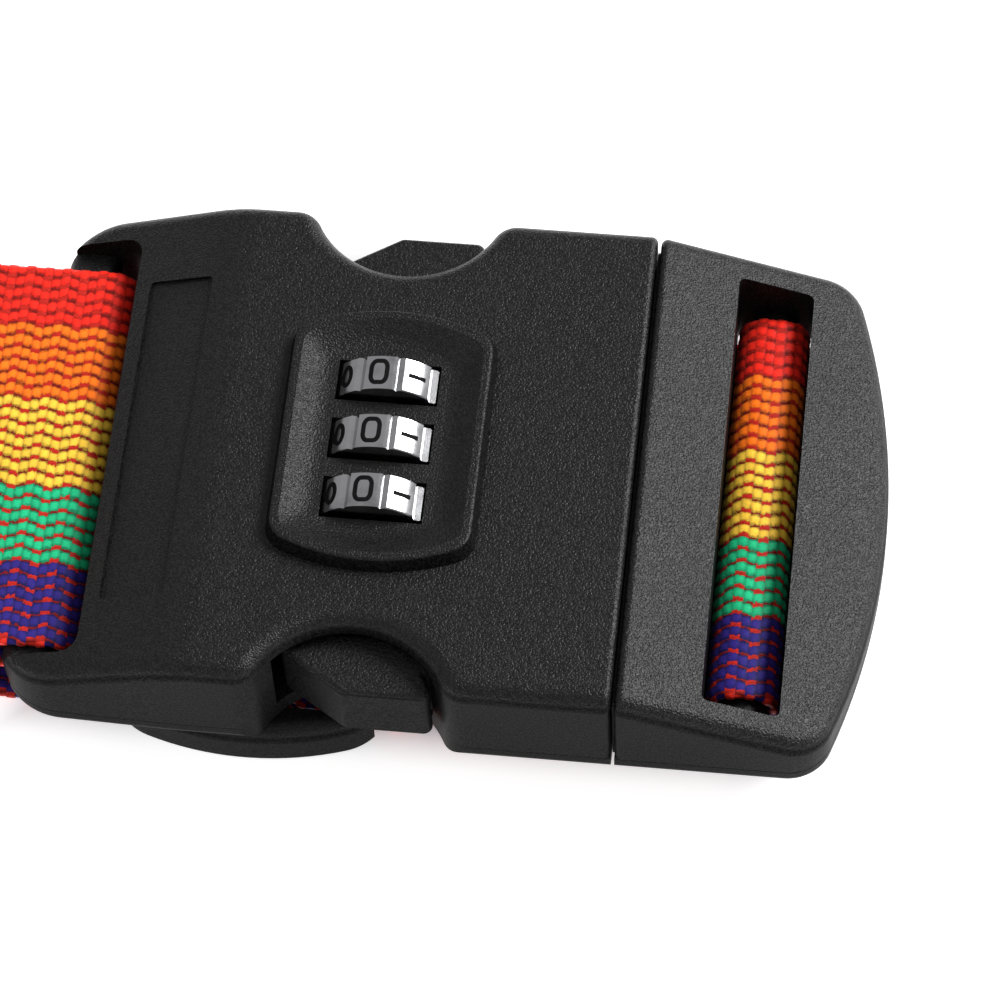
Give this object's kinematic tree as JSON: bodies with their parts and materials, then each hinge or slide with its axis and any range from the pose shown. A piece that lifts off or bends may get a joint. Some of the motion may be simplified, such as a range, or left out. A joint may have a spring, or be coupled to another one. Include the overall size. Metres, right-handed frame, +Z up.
{
  "type": "luggage strap",
  "caption": "Rainbow webbing luggage strap with a side-release buckle locked by number dials, a slider, and the spare webbing folded under a band.",
  "frame": {"origin": "on the floor below the middle of the whole strap as it lies", "axes": "+X along the strap towards the male head, +Y across it, +Z up"},
  "size_m": [0.2816, 0.06, 0.0239],
  "materials": {
    "black_plastic": "spark-eroded black moulding, fine grain on top and smoother on the sides",
    "chrome_dial": "bright chromed casting with engraved digits",
    "brass": "turned brass",
    "steel": "plain steel",
    "webbing": "woven polypropylene in rainbow stripes",
    "elastic": "ribbed elastic band"
  },
  "bodies": {
    "socket": {"socket_cover": "black_plastic", "socket_base": "black_plastic", "socket_screws": "steel", "dial_axle": "steel", "detent_spring": "steel", "plunger_spring_near": "steel", "plunger_spring_far": "steel", "web_socket_loop": "webbing", "web_upper_run": "webbing", "web_hank": "webbing", "web_lower_run": "webbing", "storage_band": "elastic"},
    "dial_near": {"dial_near": "chrome_dial", "gate_sleeve_near": "brass"},
    "dial_middle": {"dial_middle": "chrome_dial", "gate_sleeve_middle": "brass"},
    "dial_far": {"dial_far": "chrome_dial", "gate_sleeve_far": "brass"},
    "plunger_near": {"lock_plunger_near": "black_plastic"},
    "plunger_far": {"lock_plunger_far": "black_plastic"},
    "reset_button": {"reset_button": "black_plastic"},
    "male_head": {"male_cover": "black_plastic", "male_base": "black_plastic", "male_screws": "steel", "slider_frame": "black_plastic", "web_slider_run": "webbing", "web_slider_end": "webbing", "web_male_loop": "webbing"},
    "arm_near": {"release_arm_near": "black_plastic"},
    "arm_far": {"release_arm_far": "black_plastic"}
  },
  "joints": [
    {"name": "dial_near_turn", "type": "hinge", "parent": "socket", "child": "dial_near", "pos_m": [0.08525, -0.0074, 0.017], "axis": [0, 1, 0], "continuous": true},
    {"name": "dial_middle_turn", "type": "hinge", "parent": "socket", "child": "dial_middle", "pos_m": [0.08525, 0, 0.017], "axis": [0, 1, 0], "continuous": true},
    {"name": "dial_far_turn", "type": "hinge", "parent": "socket", "child": "dial_far", "pos_m": [0.08525, 0.0074, 0.017], "axis": [0, 1, 0], "continuous": true},
    {"name": "male_pull", "type": "slide", "parent": "socket", "child": "male_head", "axis": [1, 0, 0], "range_m": [0, 0.042], "deforming": ["release_arm_near", "release_arm_far"]},
    {"name": "arm_near_squeeze", "type": "hinge", "parent": "male_head", "child": "arm_near", "pos_m": [0.117, -0.0243, 0.014], "axis": [0, 0, -1], "range_deg": [0, 7.5], "stiffness_Nm_per_rad": 0.6},
    {"name": "plunger_near_slide", "type": "slide", "parent": "socket", "child": "plunger_near", "axis": [0, 1, 0], "range_m": [0, 0.0024], "deforming": ["plunger_spring_near"]},
    {"name": "arm_far_squeeze", "type": "hinge", "parent": "male_head", "child": "arm_far", "pos_m": [0.117, 0.0243, 0.014], "axis": [0, 0, 1], "range_deg": [0, 7.5], "stiffness_Nm_per_rad": 0.6},
    {"name": "plunger_far_slide", "type": "slide", "parent": "socket", "child": "plunger_far", "axis": [0, -1, 0], "range_m": [0, 0.0024], "deforming": ["plunger_spring_far"]},
    {"name": "reset_press", "type": "slide", "parent": "socket", "child": "reset_button", "axis": [0, 0, 1], "range_m": [0, 0.0012], "stiffness_N_per_m": 400}
  ],
  "couplings": [
    {"joint": "plunger_near_slide", "follows": "arm_near_squeeze", "m_per_rad": 0.018},
    {"joint": "plunger_far_slide", "follows": "arm_far_squeeze", "m_per_rad": 0.018}
  ]
}
